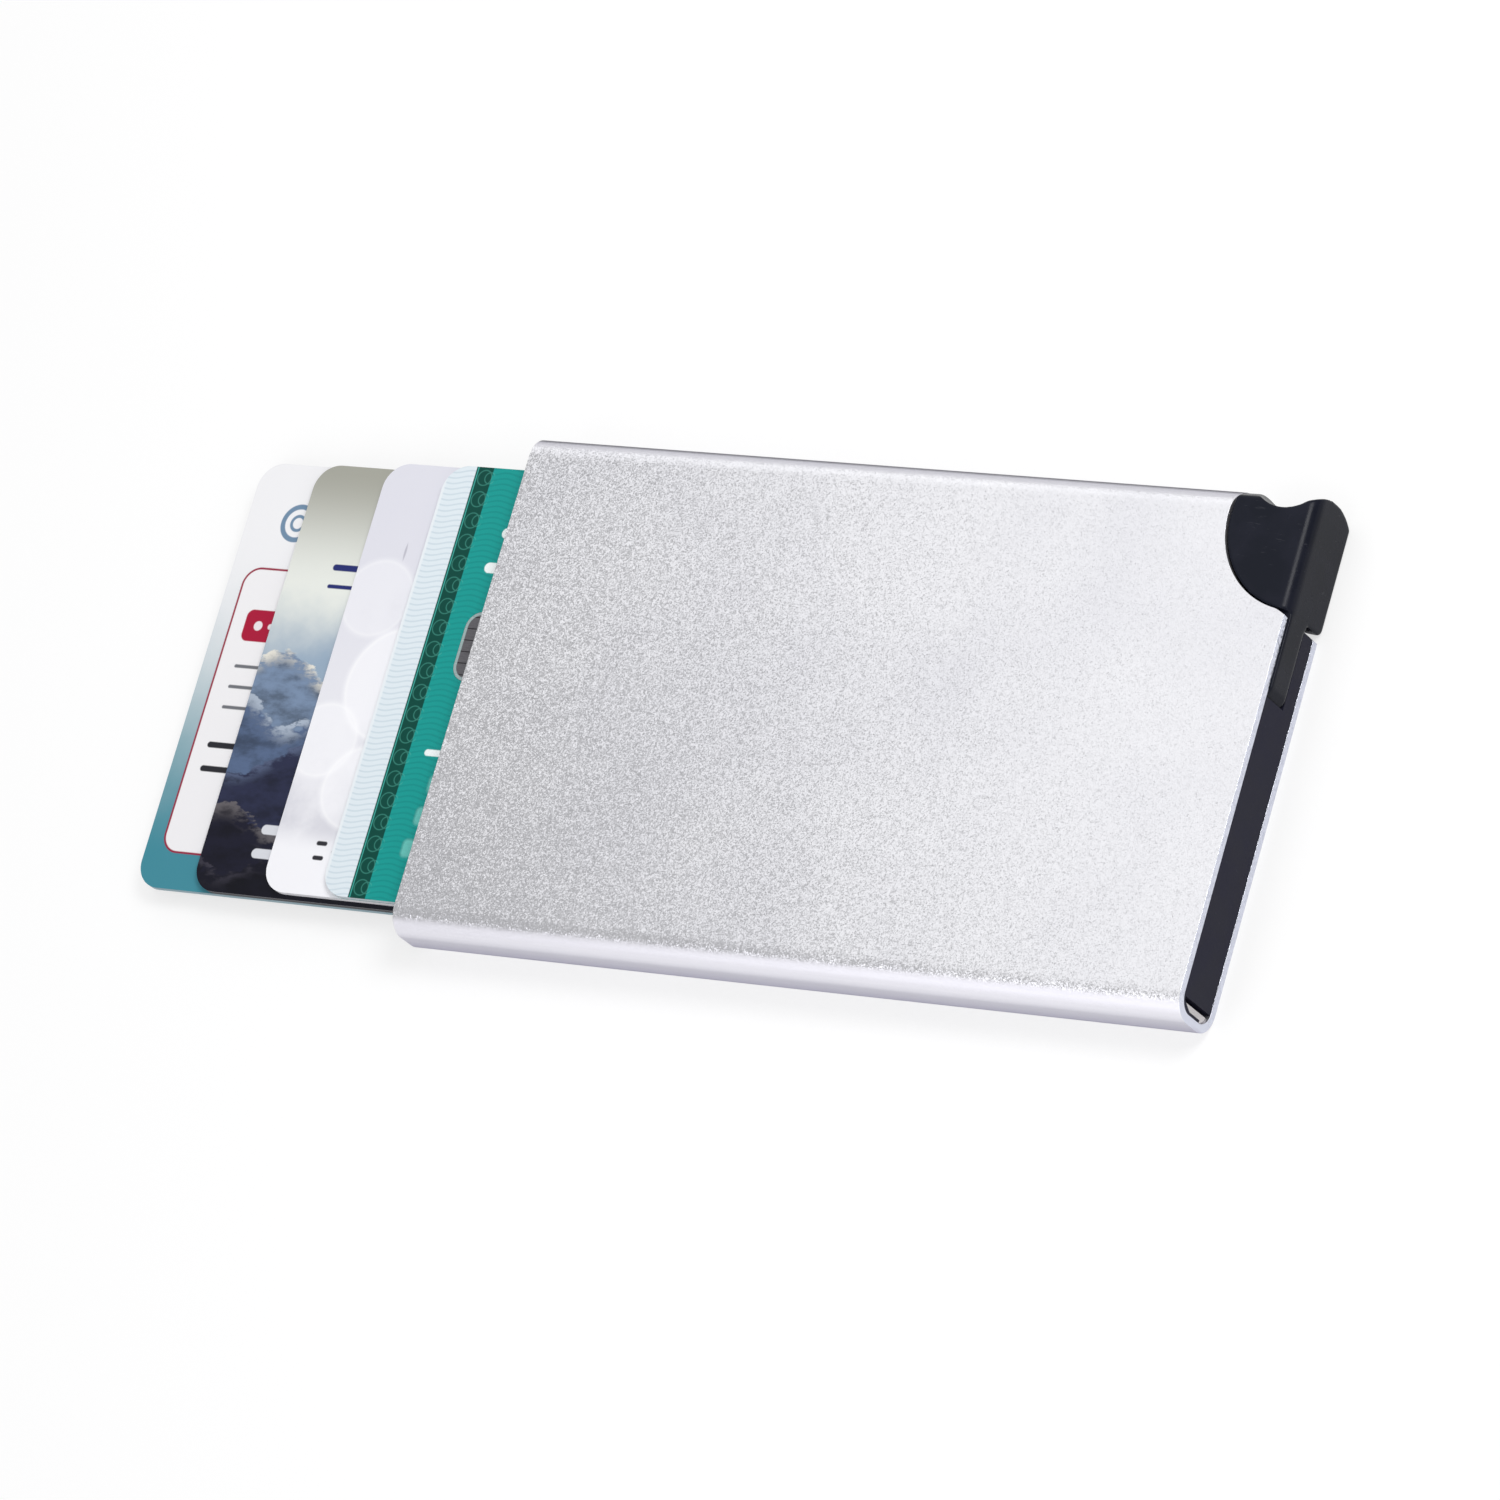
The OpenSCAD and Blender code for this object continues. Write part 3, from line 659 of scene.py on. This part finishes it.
def make_tube(mat):
    """The tube with its notch and the room that the lever sweeps."""
    obj = tube_blank("tube_blank")
    nx, ny = NOTCH_MID
    turn = [2 * math.pi * i / NOTCH_STEPS for i in range(NOTCH_STEPS)]
    notch = [(nx + NOTCH_R * math.cos(a), ny + NOTCH_R * math.sin(a)) for a in turn]
    cut(obj, prism("notch_cutter", notch, -TUBE_T, 2 * TUBE_T))
    px, py = PIVOT
    start = math.atan2(ny - py, nx - px)
    stop = math.acos(min(1, (END_X + OVERRUN - px) / SWEPT_R))
    arc = [(px + SWEPT_R * math.cos(a), py + SWEPT_R * math.sin(a))
           for a in (start + (stop - start) * i / SWEEP_STEPS for i in range(SWEEP_STEPS + 1))]
    plan = [(arc[0][0], ny)] + arc + [(END_X + PAST_END, arc[-1][1]), (END_X + PAST_END, ny)]
    cut(obj, prism("swept_cutter", plan, -TUBE_T, 2 * TUBE_T))
    soften(obj, TUBE_BEVEL, steps=2)
    return settled(obj, "aluminium_tube", mat, "holder", "anodised_aluminium", "case_shell")


def make_lever(mat):
    """The moulded lever with its edges rounded as a mould leaves them."""
    obj = copy_of("lever", "lever_blank")
    round_over(obj, NOTCH_MID, NOTCH_R - KNOB_GAP, KNOB_RIM_TURN, LEVER_SUNK, KNOB_RIM_R)
    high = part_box("lever")[1] / MM
    root_y = NOTCH_MID[1] - NOTCH_R
    ease_edge(obj, high.x, high.z, True, root_y, high.y + OVERRUN, LONG_EDGE_R)
    ease_edge(obj, high.x, TAIL_Z, False, PIVOT[1] - PAST_PIVOT, root_y - TAIL_ROOT_IN, TAIL_EDGE_R)
    remesh = obj.modifiers.new("even", "REMESH")
    remesh.mode, remesh.voxel_size, remesh.use_smooth_shade = "VOXEL", LEVER_VOXEL * MM, True
    smooth = obj.modifiers.new("round", "SMOOTH")
    smooth.factor, smooth.iterations = LEVER_SMOOTH, LEVER_PASSES
    return settled(obj, "thumb_lever", mat, "lever", "lever_plastic", "lever")


def make_cap(mat):
    """The end cap with a rounded rim where the lever sweeps past."""
    obj = copy_of("end_cap", "cap_blank")
    stop = math.degrees(math.atan2(NOTCH_MID[1] - PIVOT[1], NOTCH_MID[0] - PIVOT[0]))
    round_over(obj, PIVOT, SWEPT_R, (CAP_RIM_START, stop), WALL + CAP_GAP, CAP_RIM_R)
    soften(obj, CAP_BEVEL, steps=3)
    return settled(obj, "end_cap_plug", mat, "holder", "cap_plastic", "end_cap")


def strip_tree(name, mat, labels):
    """Geometry Nodes group of one strip in mm, a thin bed with ribs across it, and its inputs' keys."""
    tree = bpy.data.node_groups.new(name, "GeometryNodeTree")
    tree.interface.new_socket("Geometry", in_out="OUTPUT", socket_type="NodeSocketGeometry")
    keys = [tree.interface.new_socket(label, in_out="INPUT", socket_type="NodeSocketFloat").identifier
            for label in labels]
    nodes, links = tree.nodes, tree.links
    inp, out = nodes.new("NodeGroupInput"), nodes.new("NodeGroupOutput")
    length, width, pitch, radius, height = (inp.outputs[label] for label in labels)

    def calc(how, a, b):
        """Output of a Math node on sockets or numbers."""
        n = nodes.new("ShaderNodeMath")
        n.operation = how
        for socket, value in zip(n.inputs, (a, b)):
            if isinstance(value, (int, float)):
                socket.default_value = value
            else:
                links.new(value, socket)
        return n.outputs[0]

    bed_height = calc("SUBTRACT", height, radius)
    bed = nodes.new("GeometryNodeMeshCube")
    size = nodes.new("ShaderNodeCombineXYZ")
    for socket, value in zip(size.inputs, (length, width, bed_height)):
        links.new(value, socket)
    links.new(size.outputs[0], bed.inputs["Size"])
    rib = nodes.new("GeometryNodeMeshCylinder")
    rib.inputs["Vertices"].default_value = RIB_SIDES
    links.new(radius, rib.inputs["Radius"])
    links.new(calc("SUBTRACT", width, radius), rib.inputs["Depth"])
    room = calc("SUBTRACT", length, calc("MULTIPLY", radius, 2))
    count = calc("FLOOR", calc("DIVIDE", room, pitch), 0)
    row = nodes.new("GeometryNodeMeshLine")
    links.new(calc("ADD", count, 1), row.inputs["Count"])
    start, offset = nodes.new("ShaderNodeCombineXYZ"), nodes.new("ShaderNodeCombineXYZ")
    links.new(calc("MULTIPLY", calc("MULTIPLY", count, pitch), -0.5), start.inputs[0])
    links.new(calc("MULTIPLY", bed_height, 0.5), start.inputs[2])
    links.new(pitch, offset.inputs[0])
    links.new(start.outputs[0], row.inputs["Start Location"])
    links.new(offset.outputs[0], row.inputs["Offset"])
    ribs = nodes.new("GeometryNodeInstanceOnPoints")
    links.new(row.outputs[0], ribs.inputs["Points"])
    links.new(rib.outputs[0], ribs.inputs["Instance"])
    ribs.inputs["Rotation"].default_value = (math.radians(90), 0, 0)
    joined = nodes.new("GeometryNodeJoinGeometry")
    links.new(bed.outputs[0], joined.inputs[0])
    links.new(ribs.outputs[0], joined.inputs[0])
    whole, skin = nodes.new("GeometryNodeRealizeInstances"), nodes.new("GeometryNodeSetMaterial")
    links.new(joined.outputs[0], whole.inputs[0])
    links.new(whole.outputs[0], skin.inputs[0])
    skin.inputs["Material"].default_value = mat
    links.new(skin.outputs[0], out.inputs[0])
    return tree, keys


def ribbed_strips(node, name, mat, up):
    """The two friction strips of a wall, with their ribs towards the cards: up or down."""
    low, high = (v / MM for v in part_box(node))
    sizes = {"Strip length": high.x - low.x, "Strip width": PAD_W, "Rib pitch": RIB_PITCH,
             "Rib radius": RIB_R, "Height": high.z - low.z}
    tree, keys = strip_tree(name, mat, sizes)
    maker = add_object(name + "_maker", bpy.data.meshes.new(name))
    mod = maker.modifiers.new("strips", "NODES")
    mod.node_group = tree
    for key, value in zip(keys, sizes.values()):
        mod[key] = value
    graph = bpy.context.evaluated_depsgraph_get()
    strip = bpy.data.meshes.new_from_object(maker.evaluated_get(graph))
    bm = bmesh.new()
    bed_mid = (high.z - low.z - RIB_R) / 2
    face_up = Matrix.Identity(4) if up else Matrix.Rotation(math.pi, 4, "X")
    base = low.z + bed_mid if up else high.z - bed_mid
    for side in (-1, 1):
        part = strip.copy()
        place = Vector(((low.x + high.x) / 2, side * PAD_OFF, base)) * MM
        part.transform(Matrix.Translation(place) @ Matrix.Scale(MM, 4) @ face_up)
        bm.from_mesh(part)
    bpy.data.objects.remove(maker)
    made = object_from(bm, name)
    made.data.materials.append(mat)
    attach(made, "holder")
    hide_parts(node)
    return made


FINISHES = {
    "pivot_pins": ground_steel("ground_steel"),
    "spring_upper": satin_plastic("spring_plastic", srgb(224, 220, 221), srgb(242, 239, 239), 0.3),
    "push_arm": satin_plastic("arm_plastic", srgb(62, 63, 68), srgb(84, 85, 92), 0.42),
    "card_1": print_rear("rear_card_print", "card_1"),
    "card_2": print_waves("second_card_print", "card_2"),
    "card_3": print_soft("third_card_print", "card_3"),
    "card_4": print_teal("front_card_print", "card_4"),
    "card_4_chip": contact_lands("contact_lands", "card_4_chip"),
}
FINISHES["spring_lower"] = FINISHES["spring_upper"]
STRIPE, SIGN = stripe_print("magnetic_stripe"), sign_print("signature_strip")
for node in frame["nodes"]:
    if node.endswith("_stripe"):
        FINISHES[node] = STRIPE
    if node.endswith("_sign"):
        FINISHES[node] = SIGN
for node, finish in FINISHES.items():
    frame["nodes"][node].data.materials.clear()
    frame["nodes"][node].data.materials.append(finish)

make_tube(anodised("anodised_aluminium"))
make_lever(satin_plastic("lever_plastic", srgb(21, 24, 34), srgb(28, 30, 41), 0.2, 0.006, 6.0, 0.11))
make_cap(satin_plastic("cap_plastic", srgb(28, 28, 44), srgb(35, 35, 52), 0.42, specular=0.1))
RUBBER = strip_rubber("strip_rubber")
ribbed_strips("pads_rear", "rear_strips", RUBBER, True)
ribbed_strips("pads_front", "front_strips", RUBBER, False)


# ------------------------------------------------------- floor, light, camera

def floor_white(name):
    """Soft grey that shows white to the camera, also in reflections and through clear parts."""
    f = Finish(name)
    seen = f.node("ShaderNodeLightPath", {}, out="Is Camera Ray")
    for ray in ("Is Glossy Ray", "Is Transmission Ray"):
        seen = seen.most(f.node("ShaderNodeLightPath", {}, out=ray))
    soft = f.node("ShaderNodeBsdfDiffuse", {}, (FLOOR_TONE, FLOOR_TONE, FLOOR_TONE, 1))
    glow = f.node("ShaderNodeEmission", {}, Strength=seen * FLOOR_GLOW)
    return f.ends_in(f.node("ShaderNodeAddShader", {}, soft, glow).out)


def make_floor():
    """Pale floor that shows white to the camera and keeps the object's shadow."""
    bm = bmesh.new()
    drop = Matrix.Translation((0, 0, -FLOOR_DROP))
    bmesh.ops.create_grid(bm, x_segments=1, y_segments=1, size=FLOOR_HALF, matrix=drop)
    obj = object_from(bm, "floor")
    obj.data.materials.append(floor_white("floor_white"))


def facing(place, aim, turn):
    """Matrix of a lamp or camera at a place, facing a point and turned about its own axis by some degrees."""
    look = (Vector(aim) - Vector(place)).to_track_quat("-Z", "Y").to_matrix().to_4x4()
    return Matrix.Translation(place) @ look @ Matrix.Rotation(math.radians(turn), 4, "Z")


def soft_box(name, place, aim, size, power, tint=(1, 1, 1), turn=0):
    """Rectangular lamp at a place, facing a point and turned; lengths in metres, power in watts."""
    lamp = bpy.data.lights.new(name, "AREA")
    lamp.shape = "RECTANGLE"
    lamp.size, lamp.size_y = size
    lamp.energy, lamp.color = power, tint
    obj = bpy.data.objects.new(name, lamp)
    obj.matrix_world = facing(place, aim, turn)
    bpy.context.scene.collection.objects.link(obj)


def make_world():
    """White to the camera, and a weaker even light for all else."""
    world = bpy.data.worlds.new("studio")
    world.use_nodes = True
    tree = world.node_tree
    ground = tree.nodes["Background"]
    path = tree.nodes.new("ShaderNodeLightPath")
    level = tree.nodes.new("ShaderNodeMapRange")
    level.inputs["To Min"].default_value = WORLD_LIGHT
    level.inputs["To Max"].default_value = 1.0
    tree.links.new(path.outputs["Is Camera Ray"], level.inputs["Value"])
    tree.links.new(level.outputs[0], ground.inputs["Strength"])
    ground.inputs["Color"].default_value = (1, 1, 1, 1)
    bpy.context.scene.world = world


# Floor: half its width and its drop below the case in metres, its grey, and its glow; then the world's light.
FLOOR_HALF = 6
FLOOR_DROP = 0.05 * MM
FLOOR_TONE = 0.35
FLOOR_GLOW = 0.65
WORLD_LIGHT = 0.36
make_floor()
make_world()
soft_box("key_light", (0.335, 0.174, 0.49), (0, 0, 0), (0.22, 0.22), 1.5)
soft_box("face_light", (-0.079, 0.223, 0.2), (-0.079, 0.223, 0), (0.305, 0.65), 0.376, turn=32)
soft_box("edge_light", (-0.092, -0.372, 0.257), (0, -0.03, 0), (0.32, 0.54), 0.66, (0.975, 0.97, 1), turn=-19)
soft_box("rear_light", (-0.27, 0.385, 0.15), (0, 0.03, 0), (0.3, 0.2), 0.1)
soft_box("fill_light", (0.5, -0.5, 0.24), (0, 0, 0), (0.9, 0.5), 0.9)

# Camera, in metres and degrees; its lens in mm.
CAMERA_PLACE = Vector((0.5754, -0.3076, 0.8650))
CAMERA_AIM = Vector((-0.01372, -0.00393, 0.0042))
CAMERA_ROLL = -51.572
LENS = 231.46
CLIP_END = 20
camera = bpy.data.objects.new("camera", bpy.data.cameras.new("camera"))
camera.data.lens = LENS
camera.data.clip_end = CLIP_END
camera.matrix_world = facing(CAMERA_PLACE, CAMERA_AIM, CAMERA_ROLL)
bpy.context.scene.collection.objects.link(camera)
bpy.context.scene.camera = camera
bpy.context.scene.view_settings.view_transform = "Standard"
